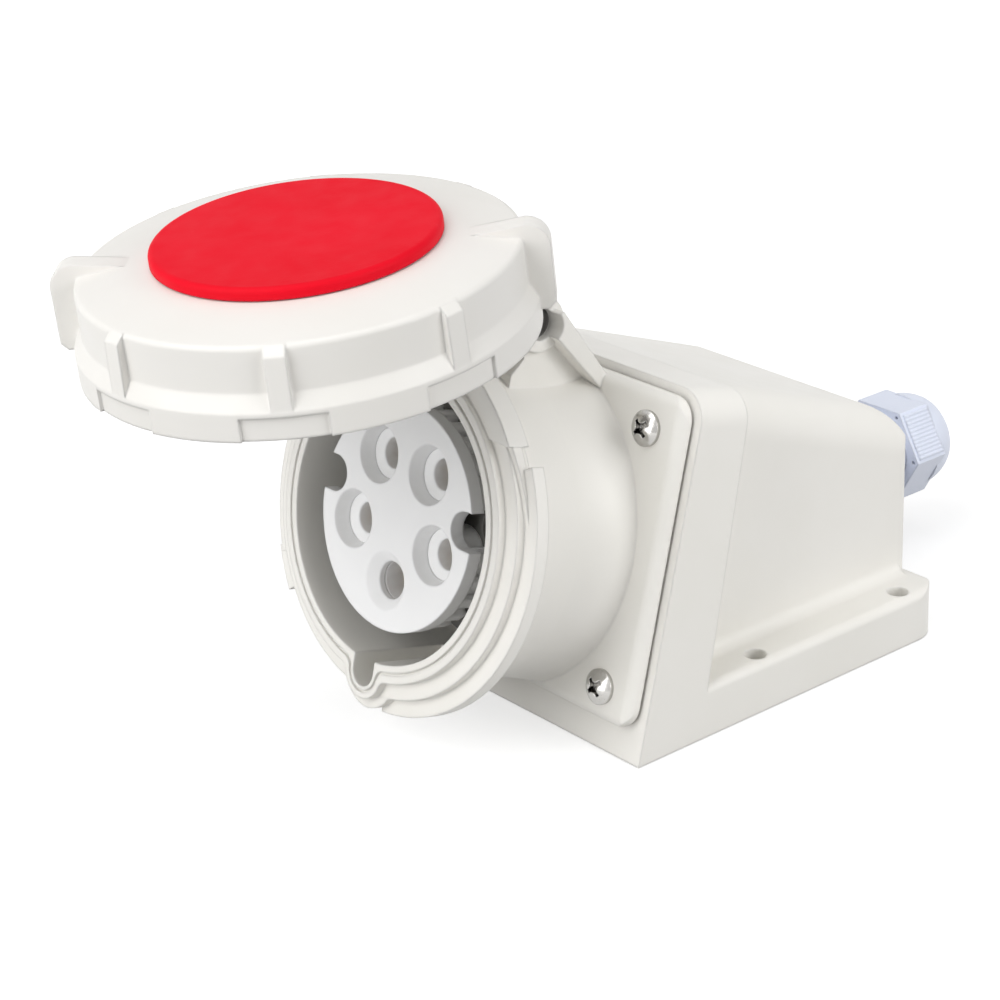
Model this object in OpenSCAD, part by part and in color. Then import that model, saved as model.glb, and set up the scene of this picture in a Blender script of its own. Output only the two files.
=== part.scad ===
// Wall mounted pin and sleeve socket: sloped back box, five pole front, hinged bayonet lid, cable gland.
// Millimetres. Z points out of the wall, the socket looks along -Y, the gland points along +Y.
// The origin is the middle of the four wall holes, on the wall face.

/* [Back box] */
// Width of the base and of the front frame
box_w = 96.5; // [96:0.5:102]
// Length of the base along the wall
base_len = 99.8; // [98:0.2:106]
// Height of the flange that carries the wall holes
flange_h = 12.4; // [11:0.2:14]
// Corner radius of the flange at the rear
flange_corner_r = 9; // [7:0.5:11]
// Rounding of the flange's top edge
flange_edge_r = 2; // [1:0.1:2.5]
// Width of the wiring body above the flange
body_w = 73.2; // [72:0.2:75]
// Wall thickness of the box
wall = 3; // [2.5:0.1:3.4]
// Height of the rear wall before its rounding
rear_h = 51.8; // [51:0.2:55]
// Slope of the roof, degrees
roof_slope = 20.6; // [20:0.1:21.2]
// Rounding between the roof and the sides
roof_edge_r = 10; // [8:0.5:11]
// Rounding between the roof and the rear wall
roof_rear_r = 14; // [11:0.5:15]
// Radius of the upright rear edges
rear_edge_r = 3.5; // [2:0.5:4.5]
// Concave fillet at the foot of the body
foot_r = 3; // [1.5:0.5:4]

/* [Front frame] */
// Lean of the front from the upright, degrees
tilt = 14.6; // [14:0.2:15.2]
// Height of the frame along its slope
frame_h = 84.4; // [84:0.2:86]
// Depth of the frame at the wall
frame_d_low = 18.7; // [18:0.1:20]
// Depth of the frame's top face
frame_d_top = 14; // [13:0.2:15]
// Corner radius of the frame at the top
frame_corner_r = 7; // [5:0.5:9]
// Half size of the opening behind the front plate
opening_half = 32; // [31.5:0.1:32.6]
// Corner radius of that opening
opening_r = 10; // [8:0.5:12]

/* [Wall fixing] */
// Distance from a wall hole to the side edge
side_hole_inset = 4.2; // [4:0.05:4.6]
// Distance between the wall holes along
hole_pitch_y = 47.6; // [44:0.2:50]
// Diameter of a wall hole
wall_hole_d = 5.2; // [4.5:0.1:5.6]
// Distance from the rear holes to the rear edge
rear_hole_inset = 12; // [11:0.2:14]

/* [Front plate] */
// Width of the front plate
plate_w = 92.4; // [90:0.2:94]
// Height of the front plate
plate_h = 74.9; // [74.7:0.1:75.3]
// Lower edge of the plate up the slope
plate_low = 7.6; // [7.4:0.1:7.7]
// Thickness of the plate
plate_t = 3.2; // [3:0.1:3.6]
// Corner radius of the plate
plate_corner_r = 5.4; // [4:0.2:7]
// Rounding of the plate's front edge
plate_edge_r = 2.6; // [1.5:0.1:2.8]
// Thickness of the gasket under the plate
gasket_t = 0.8; // [0.6:0.1:1.2]
// How far the gasket stays inside the plate's outline
gasket_inset = 0.9; // [0.5:0.1:1.5]
// Half distance between the plate screws across
plate_screw_x = 36.5; // [36:0.1:37.5]
// Lower plate screws up the slope
plate_screw_low = 15.2; // [14.6:0.1:15.6]
// Upper plate screws up the slope
plate_screw_top = 74; // [73.6:0.1:75]
// Diameter of a plate screw's head
plate_screw_head_d = 8; // [7:0.1:8.4]
// Diameter of a plate screw's shank
plate_screw_d = 4; // [3.5:0.1:4.2]

/* [Sleeve and rim] */
// Height of the sleeve axis up the slope
axis_s = 44.7; // [44.4:0.1:45]
// Radius of the mouth
mouth_r = 32.5; // [32.2:0.1:32.8]
// Outer radius of the sleeve
sleeve_r = 36.7; // [36.4:0.1:36.9]
// Distance of the mouth plane from the frame's front plane
mouth_n = 41.4; // [41:0.1:42]
// Radius of the lip round the mouth
lip_r = 36.5; // [36:0.1:36.8]
// Radius of the step behind the lip
collar_r = 40.2; // [39.8:0.1:40.6]
// Distance of that step behind the mouth
collar_d = 2; // [1.6:0.1:2.4]
// Radius of the bayonet flange
flange_r = 44.1; // [43.8:0.1:44.3]
// Distance of the flange's face behind the mouth
flange_d = 4; // [3.6:0.1:4.2]
// Thickness of the bayonet flange
flange_t = 3.3; // [3:0.1:3.4]
// Radius of the stop bump on the flange
bump_r = 44.9; // [44.5:0.1:45]
// Radius of the raised collar pieces beside the hinge
raised_r = 41.8; // [41.2:0.1:42]
// Distance of the raised pieces behind the mouth
raised_d = 1.2; // [0.8:0.1:1.6]
// Width of the fine groove in the lip
lip_groove_w = 0.6; // [0.4:0.1:0.8]
// Radius of that groove
lip_groove_r = 34.4; // [34:0.1:34.8]
// How far the sleeve flares out where it meets the plate
sleeve_flare_w = 2.7; // [2:0.1:2.8]
// Length of that flare along the sleeve
sleeve_flare_h = 16; // [14:0.5:17]

/* [Keyway] */
// Width of the keyway at the bottom of the mouth
key_w = 7; // [6.4:0.1:7.4]
// Radius at which the keyway's round bottom has its centre
key_c = 35.4; // [35:0.1:35.6]
// Depth of the keyway along the sleeve
key_depth = 25; // [20:0.5:26]
// Wall of the lip round the keyway
key_lip = 2.7; // [2.2:0.1:3]
// Wall of the step round the keyway
key_collar = 5; // [4.6:0.1:5.1]

/* [Socket insert] */
// Radius of the insert's face
insert_r = 25.5; // [25:0.1:25.8]
// Distance of the face behind the mouth
insert_d = 2.25; // [1.8:0.05:3]
// Thickness of the insert's face disc
face_t = 3.6; // [3.4:0.1:4]
// Depth of the pin guide behind it
guide_t = 5.4; // [5:0.1:6]
// Wall of the pin guide's skirt
guide_skirt_t = 1.6; // [1.4:0.1:1.8]
// Wall of a guide tube round the widest part of its hole
guide_tube_t = 1; // [0.8:0.1:1.2]
// Radius of the insert behind the face disc
insert_core_r = 23.4; // [23:0.1:24]
// Radius of the circle of contacts
contact_circle_r = 14.7; // [14.4:0.1:15]
// Radius of a contact hole at the face
contact_entry_r = 6.6; // [6.2:0.1:6.8]
// Radius of a phase hole at the bottom of its funnel
contact_funnel_r = 5.6; // [5.3:0.1:5.8]
// Diameter of a phase or neutral plug pin
phase_pin_d = 6; // [5.8:0.1:6.2]
// Diameter of the earth plug pin
earth_pin_d = 8; // [7.8:0.1:8.2]
// Radial clearance of a plug pin in its contact
pin_clear = 0.05; // [0.03:0.01:0.08]
// Wall of a contact tube
contact_wall = 1.9; // [1.6:0.1:2]
// Sideways place of the insert screws
insert_screw_x = 22.6; // [22.2:0.1:22.8]
// Height of the insert screws above the axis
insert_screw_s = 3.6; // [3.2:0.1:4]
// Radius of the notch in front of an insert screw
insert_notch_r = 4.2; // [4:0.1:4.4]

/* [Hinge] */
// Height of the hinge axis above the sleeve axis
hinge_s = 47.4; // [47.2:0.1:47.8]
// Distance of the hinge axis from the frame's front plane
hinge_n = 21.8; // [21.4:0.1:22.2]
// Outer radius of a hinge ear's barrel
barrel_r = 6.2; // [5.8:0.1:6.4]
// Inner face of a hinge ear
ear_in = 12.5; // [12.2:0.1:12.8]
// Outer face of a hinge ear's web
ear_web = 16; // [15.4:0.1:16.4]
// Outer face of a hinge ear's barrel
ear_out = 17.5; // [17:0.1:18]
// Outer face of the rib along a hinge ear
ear_rib = 20.5; // [19:0.1:21.5]
// Diameter of the hinge pin
hinge_pin_d = 4; // [3.6:0.1:4.4]
// Running clearance round the hinge pin
hinge_clear = 0.05; // [0.03:0.01:0.08]
// How far the lid stands open, degrees
lid_open = 69.7; // [0:0.1:90]

/* [Lid] */
// Radius of the red disc
disc_r = 30.4; // [29.8:0.1:31]
// Thickness of the red disc
disc_t = 2.6; // [2.4:0.1:3]
// Height of the disc's underside above the mouth
disc_z = 11.7; // [11.5:0.1:12]
// Radius of the inner lid
inner_lid_r = 43.3; // [43:0.1:43.4]
// Underside of the inner lid above the mouth
inner_lid_z = 2.6; // [2.4:0.1:2.8]
// Thickness of the inner lid
inner_lid_t = 3.2; // [3:0.1:3.4]
// Radius of the boss on which the ring turns
boss_r = 27; // [26.5:0.1:27.4]
// Half width of the lid's hinge arm
arm_half = 10.5; // [9.5:0.1:10.8]
// Inner radius of the seal
seal_in_r = 31.5; // [31:0.1:32]
// Outer radius of the seal
seal_out_r = 37.5; // [37:0.1:38]
// Gap between the seal and the rim
seal_gap = 0.35; // [0.3:0.05:0.5]

/* [Bayonet ring] */
// Outer radius of the ring's drum
drum_r = 46.4; // [46.2:0.1:46.6]
// Inner radius of the drum
drum_in_r = 43.8; // [43.7:0.1:43.9]
// Outer radius of the ring's band
band_r = 48.4; // [48.1:0.1:48.6]
// Inner radius of the band
band_in_r = 45.8; // [45.7:0.1:45.9]
// Distance of the band's bottom behind the mouth
band_low = 10.2; // [10:0.1:10.4]
// Radial reach of a finger lug
lug_r = 51.8; // [51.4:0.1:53]
// Thickness of a finger lug
lug_t = 5; // [4.4:0.1:6]
// Width of a small rib
rib_w = 4.4; // [3.6:0.1:5]
// Turn of the ribs from the level, degrees
rib_turn = 2.5; // [0:0.1:5]
// Inner radius of the bayonet lugs
bayonet_r = 42.6; // [42.4:0.1:42.8]
// Angle of the middle of a bayonet lug when unlocked, degrees
bayonet_turn = 52; // [51:0.1:53]
// Angle that a bayonet lug spans, degrees
bayonet_span = 24; // [20:0.5:25]
// Running clearance of the ring on its boss
ring_clear = 0.3; // [0.25:0.01:0.4]

/* [Cable gland] */
// Height of the gland above the wall
gland_z = 24; // [23:0.1:25]
// Outer radius of the neck moulded on the box
neck_r = 14.5; // [14:0.1:15]
// Length of the neck
neck_len = 13; // [12:0.1:14]
// Diameter of the gland's thread
gland_thread_d = 20; // [19:0.1:20.5]
// Radial clearance of the gland's thread
gland_clear = 0.1; // [0.05:0.01:0.15]
// Width across the flats of the gland's hexagons
gland_flats = 23.8; // [23:0.1:25]
// Length of the hexagon on the gland's body
gland_hex_len = 5; // [4.5:0.1:6]
// Thickness of the gland's sealing washer
gland_washer_t = 1.2; // [1:0.1:1.5]
// Distance of the cap nut from the rear wall
gland_nut_y = 28.2; // [27.6:0.1:29]
// Length of the cap nut's hexagon
gland_nut_len = 11; // [10:0.1:12]
// Length of the cap nut's dome
gland_dome_len = 5.3; // [4.5:0.1:6]
// Largest cable diameter that the bush takes
cable_d = 12; // [11:0.1:12.4]

/* [Hidden] */
$fn = 96;
eps = 0.01;
far = 200;
housing_color = [0.87, 0.86, 0.84];
insert_color = [0.90, 0.91, 0.92];
red_color = [0.80, 0.06, 0.09];
rubber_color = [0.12, 0.12, 0.13];
brass_color = [0.78, 0.62, 0.32];
steel_color = [0.75, 0.76, 0.78];
gland_color = [0.83, 0.85, 0.90];

hole_pitch_x = box_w - 2 * side_hole_inset;
rear_y = hole_pitch_y / 2 + rear_hole_inset;
front_y = rear_y - base_len;
cavity_front = 9;
screw_clear = 0.25;
thread_clear = 0.05;
seat_clear = 0.1;

plate_n = gasket_t + plate_t;
plate_mid = plate_low + plate_h / 2;
pilot_len = 12;
plate_screw_len = plate_n + pilot_len - 1.5;
plate_screw_head_h = 2.6;
plate_screws_at = [for (x = [-1, 1], s = [plate_screw_low, plate_screw_top]) [x * plate_screw_x, s]];

key_r = key_w / 2;
collar_rear = flange_d + flange_t;
hinge_window = [68, 112];
flange_spans = [[-85, 30], [135, 207]];
bump_span = [205, 218.8];
raised_s = 25;
ramp_span = [12, 38.6];
ramp_inset = 2.6;
span_lap = 0.4;
raised_spans = [[35, hinge_window[0] - span_lap], [hinge_window[1] + span_lap, 135 + span_lap]];
lobe_fillet = 3;
fillet_bite = 0.05;
rim_step = 0.15;

web_n = plate_n;
web_t = 3;
web_r = insert_r + 0.7;
carrier_flange_r = mouth_r - 2;
carrier_flange_t = 3;
carrier_low = web_n + 0.3;
insert_n = mouth_n - insert_d;
insert_screw_seat = web_n + web_t + carrier_flange_t + 3;
insert_screw_d = 3.8;
insert_screw_head_r = 3.4;
insert_screw_head_h = 2.4;
block_r = 29.5;
block_len = 16;
insert_screw_len = insert_screw_seat - web_n + block_len - 4;

contact_angles = [54, 126, 198, 342, 270];
guide_n = insert_n - face_t;
contact_top = guide_n - guide_t;
contact_bottom = -28;
contact_collar = 1.1;
contact_collar_len = 2.6;
collar_room = 0.2;
earth_seat_d = 2;
phase_seat_d = 1;
earth_pin_clear = 0.25;
phase_pin_clear = 0.5;
contact_bore_len = 24;
wire_r = 2.6;
wire_len = 12;
terminal_screw_r = 1.9;
terminal_screw_n = contact_bottom + 6;

ear_front = 26.9;
ear_step = 35.7;
ear_valley = [39.4, 24];
pin_r = hinge_pin_d / 2;
pin_head_r = pin_r + 1.5;
pin_head_t = 1.5;
pin_head_sunk = 0.4;
pin_dome_r = 5;
pin_seat = ear_out - pin_head_t - pin_head_sunk;

boss_wall = 2.7;
boss_recess_r = boss_r - 3;
disc_edge_r = 1.2;
disc_screw_circle = 16;
disc_screw_r = 1.5;
disc_screw_head_r = 2.8;
disc_screw_head_h = 1.8;
disc_screw_grip = 1.4;
band_slope_low = -3.4;
band_slope_top = -0.8;
arm_in = sleeve_r + 0.9;
arm_low = -band_low - 0.8;
arm_step = band_slope_low - 0.5;
knuckle_half = ear_in - 0.3;
knuckle_r = barrel_r - 0.2;
seal_groove = 0.8;
inner_lid_top = inner_lid_z + inner_lid_t;
hinge_z = hinge_n - mouth_n;

ring_top = disc_z - ring_clear;
ring_wall = 2.6;
ring_slope_drop = 2.2;
drum_round = 1.2;
ledge_top = -0.7;
ledge_low = -4.2;
band_arm_r = band_in_r - 0.5;
rib_angles = [0, 90, 135, 180, -45, -90];
lug_angles = [45, 225];
lug_low = -6.8;
lug_round = 5;
lug_top = disc_z + 0.3;
window_span = 21;
window_top = -5.2;
window_depth = 0.7;
bayonet_low = 0.2;
bayonet_t = 2.3;

gland_r = gland_thread_d / 2;
gland_hex_r = gland_flats / 2 / cos(30);
gland_hex_y = neck_len + gland_washer_t;
gland_outer_r = gland_r - 0.4;
gland_nut_grip = 8;
gland_bore_r = cable_d / 2 + 1.4;
gland_slots = 6;
gland_slot_w = 1.6;
gland_end = gland_nut_y + gland_nut_grip;
bush_len = 10;
nut_pit_d = 0.9;
nut_pit_depth = 2;
nut_pit_inset = 1.7;

function roof(y) = rear_h + tan(roof_slope) * (rear_y - y);

module on_front() {
    translate([0, front_y, 0]) rotate([90 - tilt, 0, 0]) children();
}

module on_sleeve() {
    on_front() translate([0, axis_s, 0]) children();
}

module on_lid() {
    on_sleeve() translate([0, hinge_s, hinge_n]) rotate([-lid_open, 0, 0])
        translate([0, -hinge_s, mouth_n - hinge_n]) children();
}

module on_gland() {
    translate([0, rear_y, gland_z]) rotate([-90, 0, 0]) children();
}

module along_x(x0, x1) {
    translate([x0, 0, 0]) rotate([90, 0, 90]) linear_extrude(x1 - x0) children();
}

module both_sides() {
    children();
    mirror([1, 0, 0]) children();
}

module rounded_rect(w, h, r) {
    square([w - 2 * r, h], center = true);
    square([w, h - 2 * r], center = true);
    for (x = [-1, 1], y = [-1, 1]) translate([x * (w / 2 - r), y * (h / 2 - r)]) circle(r);
}

// What a rounding of radius r takes off the corner that lies from its centre c along u and v
module corner_cut(c, r, u, v) {
    difference() {
        polygon([c, c + u * (r + 1), c + (u + v) * (r + 1), c + v * (r + 1)]);
        translate(c) circle(r);
    }
}

module round_top(w, t, edge) {
    difference() {
        translate([-w / 2, 0]) square([w, t]);
        for (s = [-1, 1]) corner_cut([s * (w / 2 - edge), t - edge], edge, [s, 0], [0, 1]);
    }
}

// A plate on z = 0 with rounded corners and a rounded top edge
module pillow_plate(w, h, t, corner, edge) {
    intersection() {
        linear_extrude(t) rounded_rect(w, h, corner);
        rotate([90, 0, 0]) translate([0, 0, -h]) linear_extrude(2 * h) round_top(w, t, edge);
        rotate([90, 0, 90]) translate([0, 0, -w]) linear_extrude(2 * w) round_top(h, t, edge);
    }
}

// A concave fillet of radius r in the corner at the origin, reaching into both walls
module fillet_strip(r) {
    reach = 0.5;
    difference() {
        translate([-reach, -reach]) square(r + reach);
        translate([r, r]) circle(r);
    }
}

module pan_screw(head_r, head_h, shank_r, len) {
    dome_r = (head_r * head_r + head_h * head_h) / (2 * head_h) * 1.25;
    difference() {
        union() {
            translate([0, 0, -len]) cylinder(r = shank_r, h = len + eps);
            intersection() {
                cylinder(r = head_r, h = head_h);
                translate([0, 0, head_h - dome_r]) sphere(dome_r);
            }
        }
        translate([0, 0, head_h * 0.35]) linear_extrude(head_h) difference() {
            circle(head_r * 0.56);
            for (a = [45 : 90 : 315]) rotate(a) translate([head_r * 0.62, 0]) circle(head_r * 0.328);
        }
    }
}

// Side view of the wiring body, y across and z up, drawn inward by inset
module body_side(inset, low, front_low, front_top) {
    mid = [rear_y - roof_rear_r, roof(rear_y - roof_rear_r) - roof_rear_r / cos(roof_slope)];
    r = roof_rear_r - inset;
    rear = rear_y - inset;
    drop = inset / cos(roof_slope);
    difference() {
        polygon([[front_low, low], [rear, low], [rear, roof(rear) - drop],
            [front_top, roof(front_top) - drop]]);
        difference() {
            polygon([mid, [rear + eps, mid[1]], [rear + eps, roof(rear) + eps],
                mid + (r + eps) * [sin(roof_slope), cos(roof_slope)]]);
            translate(mid) circle(r);
        }
    }
}

// Cross section of the body under the roof plane, drawn inward by inset
module body_section(inset) {
    w = body_w - 2 * inset;
    r = roof_edge_r - inset;
    translate([0, -inset]) {
        translate([-w / 2 + r, -far / 2]) square([w - 2 * r, far / 2]);
        translate([-w / 2, -far / 2]) square([w, far / 2 - r]);
        for (s = [-1, 1]) translate([s * (w / 2 - r), -r]) circle(r);
    }
}

module body_solid(inset, low, front_low, front_top) {
    intersection() {
        along_x(-body_w, body_w) body_side(inset, low, front_low, front_top);
        translate([0, rear_y, rear_h]) rotate([90 - roof_slope, 0, 0])
            translate([0, 0, -far / 2]) linear_extrude(far) body_section(inset);
    }
}

module frame_solid() {
    top_y = front_y + frame_h * sin(tilt) + frame_d_top * cos(tilt);
    top_z = frame_h * cos(tilt) - frame_d_top * sin(tilt);
    lean = (top_y - front_y - frame_d_low) / top_z;
    intersection() {
        on_front() translate([0, 0, -far / 2]) linear_extrude(far / 2) {
            translate([-box_w / 2 + frame_corner_r, 0]) square([box_w - 2 * frame_corner_r, frame_h]);
            translate([-box_w / 2, -far / 4]) square([box_w, far / 4 + frame_h - frame_corner_r]);
            for (s = [-1, 1]) translate([s * (box_w / 2 - frame_corner_r), frame_h - frame_corner_r])
                circle(frame_corner_r);
        }
        along_x(-box_w, box_w) polygon([[front_y - far, 0], [front_y + frame_d_low, 0],
            [front_y + frame_d_low + lean * far, far], [front_y - far, far]]);
    }
}

module box_outside() {
    plan_front = front_y + 6;
    difference() {
        body_solid(0, 0, front_y + 12, front_y + 30);
        for (s = [-1, 1]) translate([0, 0, -1]) linear_extrude(far)
            corner_cut([s * (body_w / 2 - rear_edge_r), rear_y - rear_edge_r], rear_edge_r, [s, 0], [0, 1]);
    }
    frame_solid();
    translate([0, (plan_front + rear_y) / 2, 0])
        pillow_plate(box_w, rear_y - plan_front, flange_h, flange_corner_r, flange_edge_r);
    both_sides() translate([body_w / 2, rear_y - rear_edge_r, flange_h]) rotate([90, 0, 0])
        linear_extrude(base_len - frame_d_low - 2 * rear_edge_r) fillet_strip(foot_r);
    on_gland() translate([0, 0, -wall]) cylinder(r = neck_r, h = wall + neck_len);
}

module flange_pocket() {
    side = 2.6;
    boss_wall_r = 2.4;
    low_y = front_y + frame_d_low + 7.3;
    difference() {
        translate([body_w / 2 - 0.5, low_y, -1]) cube([(box_w - body_w) / 2 - side + 0.5,
            rear_y - low_y - flange_corner_r + 1.2, flange_h - wall + 1]);
        for (y = [-1, 1]) translate([hole_pitch_x / 2, y * hole_pitch_y / 2, -2])
            cylinder(r = wall_hole_d / 2 + boss_wall_r, h = flange_h + 4);
    }
}

module back_box() {
    color(housing_color) difference() {
        box_outside();
        body_solid(wall, wall, front_y + wall * tan(tilt) + cavity_front / cos(tilt),
            front_y + frame_h * sin(tilt) + cavity_front);
        on_sleeve() translate([0, 0, -2 * cavity_front]) linear_extrude(far / 2)
            rounded_rect(2 * opening_half, 2 * opening_half, opening_r);
        on_front() for (p = plate_screws_at) translate([p[0], p[1], -pilot_len])
            cylinder(d = plate_screw_d + 2 * thread_clear, h = pilot_len + 1);
        for (x = [-1, 1], y = [-1, 1]) translate([x * hole_pitch_x / 2, y * hole_pitch_y / 2, -1])
            cylinder(d = wall_hole_d, h = flange_h + 2);
        both_sides() flange_pocket();
        on_gland() translate([0, 0, -wall - 1]) cylinder(r = gland_r + gland_clear, h = wall + neck_len + 2);
    }
}

// The lobe round the keyway, with concave fillets to a disc of radius r
module key_lobe(r, lobe, fillet, low, top) {
    a = r + fillet - fillet_bite;
    b = lobe + fillet - fillet_bite;
    turn = acos((a * a + key_c * key_c - b * b) / (2 * a * key_c));
    translate([0, -key_c, low]) cylinder(r = lobe, h = top - low);
    translate([0, 0, low]) linear_extrude(top - low) for (s = [-1, 1]) difference() {
        polygon([(r - 2) * [s * sin(turn), -cos(turn)], a * [s * sin(turn), -cos(turn)], [0, -key_c]]);
        translate(a * [s * sin(turn), -cos(turn)]) circle(fillet);
    }
}

module ring_part(span, r0, r1, low, top) {
    rotate(span[0]) rotate_extrude(angle = span[1] - span[0])
        translate([r0, low]) square([r1 - r0, top - low]);
}

module rim() {
    collar_low = mouth_n - collar_rear;
    key_low = mouth_n - key_depth - key_lip;
    translate([0, 0, collar_low + rim_step]) cylinder(r = lip_r, h = collar_rear - rim_step);
    key_lobe(lip_r, key_r + key_lip, lobe_fillet, key_low, mouth_n);
    ring_part([hinge_window[1], 360 + hinge_window[0]], mouth_r + 1, collar_r,
        collar_low + 2 * rim_step, mouth_n - collar_d);
    key_lobe(collar_r, key_r + key_collar, lobe_fillet + 1,
        collar_low + 3 * rim_step, mouth_n - collar_d - rim_step / 2);
    for (span = flange_spans)
        ring_part(span, mouth_r + 2, flange_r, collar_low, mouth_n - flange_d);
    ring_part(bump_span, mouth_r + 2.5, bump_r, collar_low + rim_step, mouth_n - flange_d - rim_step);
    for (span = raised_spans)
        difference() {
            ring_part(span, mouth_r + 3, raised_r, collar_low + 4 * rim_step, mouth_n - raised_d);
            translate([0, raised_s - far, 0]) cube(far);
        }
    rim_ramp();
}

// The sloping face on which the flange climbs to the step
module rim_ramp() {
    low = mouth_n - flange_d - 1;
    half = flange_r * sin((ramp_span[1] - ramp_span[0]) / 2);
    rise = (flange_d - collar_d) / (2 * half);
    top = mouth_n - collar_d - rim_step - rise * half;
    intersection() {
        ring_part(ramp_span, mouth_r + 3.5, flange_r - ramp_inset, low, mouth_n);
        rotate((ramp_span[0] + ramp_span[1]) / 2) rotate([90, 0, 90]) linear_extrude(far)
            polygon([[-2 * half, low - 1], [2 * half, low - 1], [2 * half, top + 2 * half * rise],
                [-2 * half, top - 2 * half * rise]]);
    }
}

module lip_groove() {
    top_r = lip_groove_r + lip_groove_w / 2;
    low_r = lip_groove_r - lip_groove_w / 2;
    lobe = key_r + 1.1;
    difference() {
        union() {
            translate([0, 0, mouth_n - lip_groove_w]) cylinder(r = top_r, h = lip_groove_w + 1);
            key_lobe(top_r, lobe + lip_groove_w / 2, lobe_fillet, mouth_n - lip_groove_w, mouth_n + 1);
        }
        translate([0, 0, mouth_n - 1]) cylinder(r = low_r, h = 3);
        key_lobe(low_r, lobe - lip_groove_w / 2, lobe_fillet, mouth_n - 1, mouth_n + 2);
    }
}

// A hinge ear at +X, its web thin and its barrel and rib thick
module ear() {
    rib_top = [hinge_s + 3.6, hinge_n - 3];
    rib_foot = [36.3, 2];
    along_x(ear_in, ear_web) polygon([[29, 2], [29, ear_front], [ear_step, ear_front], ear_valley,
        [hinge_s, ear_valley[1]], [hinge_s, hinge_n - 4], rib_foot]);
    along_x(ear_in, ear_out) translate([hinge_s, hinge_n]) circle(barrel_r);
    along_x(ear_in, ear_rib) polygon([rib_top, rib_foot, rib_foot - [3.8, 0], [hinge_s, hinge_n + 0.7]]);
}

// The flare of the sleeve over the flat of the plate: a wide hollow curve that bites into both
module sleeve_flare() {
    flat_w = plate_w - 2 * plate_edge_r;
    flat_h = plate_h - 2 * plate_edge_r;
    bite = 0.5;
    curve_r = (sleeve_flare_w * sleeve_flare_w + sleeve_flare_h * sleeve_flare_h) / (2 * sleeve_flare_w);
    intersection() {
        translate([0, 0, plate_n]) rotate_extrude() difference() {
            translate([sleeve_r - bite, -bite]) square([sleeve_flare_w + 2 * bite, sleeve_flare_h + bite]);
            translate([sleeve_r + curve_r - fillet_bite, sleeve_flare_h]) circle(curve_r);
        }
        translate([-flat_w / 2, plate_mid - axis_s - flat_h / 2, 0]) cube([flat_w, flat_h, mouth_n]);
    }
}

module socket_shell() {
    color(housing_color) on_sleeve() difference() {
        union() {
            translate([0, plate_mid - axis_s, gasket_t])
                pillow_plate(plate_w, plate_h, plate_t, plate_corner_r, plate_edge_r);
            translate([0, 0, gasket_t]) cylinder(r = sleeve_r, h = mouth_n - flange_d - rim_step - gasket_t);
            sleeve_flare();
            rim();
            both_sides() ear();
        }
        difference() {
            translate([0, 0, -1]) cylinder(r = mouth_r, h = far);
            translate([0, 0, web_n]) difference() {
                cylinder(r = mouth_r + 1, h = web_t);
                translate([0, 0, -1]) cylinder(r = web_r, h = web_t + 2);
            }
        }
        translate([0, 0, mouth_n - key_depth]) linear_extrude(far) {
            translate([0, -key_c]) circle(key_r);
            translate([-key_r, -key_c]) square([key_w, key_r + 1]);
        }
        lip_groove();
        for (p = plate_screws_at) translate([p[0], p[1] - axis_s, -1])
            cylinder(d = plate_screw_d + 2 * screw_clear, h = plate_n + 2);
        translate([-far / 2, hinge_s, hinge_n]) rotate([0, 90, 0])
            cylinder(r = pin_r + thread_clear, h = far);
        translate([pin_seat, hinge_s, hinge_n]) rotate([0, 90, 0])
            cylinder(r = pin_head_r + seat_clear, h = far);
    }
}

module plate_gasket() {
    in = gasket_inset;
    color(rubber_color) on_sleeve() linear_extrude(gasket_t) difference() {
        translate([0, plate_mid - axis_s])
            rounded_rect(plate_w - 2 * in, plate_h - 2 * in, plate_corner_r - in);
        rounded_rect(2 * opening_half, 2 * opening_half, opening_r);
        for (p = plate_screws_at) translate([p[0], p[1] - axis_s])
            circle(d = plate_screw_d + 2 * screw_clear);
    }
}

function pin_d(k) = k == 4 ? earth_pin_d : phase_pin_d;
function contact_r(k) = pin_d(k) / 2 + pin_clear + contact_wall;

module at_contact(k) {
    rotate(contact_angles[k]) translate([contact_circle_r, 0, 0]) children();
}

// Cone of radius r0 at low and r1 at top, carried on by more beyond its ends where they are open
module open_cone(r0, r1, low, top, more_low, more_top) {
    slope = (r1 - r0) / (top - low);
    translate([0, 0, low - more_low])
        cylinder(r1 = r0 - slope * more_low, r2 = r1 + slope * more_top, h = top - low + more_low + more_top);
}

function pin_hole(k) = pin_d(k) / 2 + (k == 4 ? earth_pin_clear : phase_pin_clear);

// What contact k cuts out of the face disc: a funnel, or a bevelled hole for the earth pin
module face_entry(k) {
    if (k == 4) {
        open_cone(pin_hole(k), contact_entry_r, insert_n - earth_seat_d, insert_n, 0, 1);
        translate([0, 0, contact_top]) cylinder(r = pin_hole(k), h = far);
    } else {
        open_cone(contact_funnel_r, contact_entry_r, guide_n, insert_n, 1, 1);
    }
}

// Radius of the hole in guide tube k where it is widest
function guide_hole(k) = k == 4 ? pin_hole(k) : contact_funnel_r;

// What contact k cuts out of its guide tube
module guide_entry(k) {
    if (k != 4) open_cone(pin_hole(k), contact_funnel_r, guide_n - phase_seat_d, guide_n, 0, 1);
    translate([0, 0, contact_top - 1]) cylinder(r = pin_hole(k), h = far);
}

// Room for the tube and the collar of contact k
module contact_seat(k) {
    r = contact_r(k) + seat_clear;
    translate([0, 0, -1]) cylinder(r = r, h = far);
    translate([0, 0, -1]) cylinder(r = r + contact_collar, h = web_n + contact_collar_len + collar_room + 1);
}

module screw_notches() {
    both_sides() translate([insert_screw_x, insert_screw_s, insert_screw_seat]) {
        cylinder(r = insert_notch_r, h = far);
        translate([0, -insert_notch_r, 0]) cube([insert_r, 2 * insert_notch_r, far]);
    }
}

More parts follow.
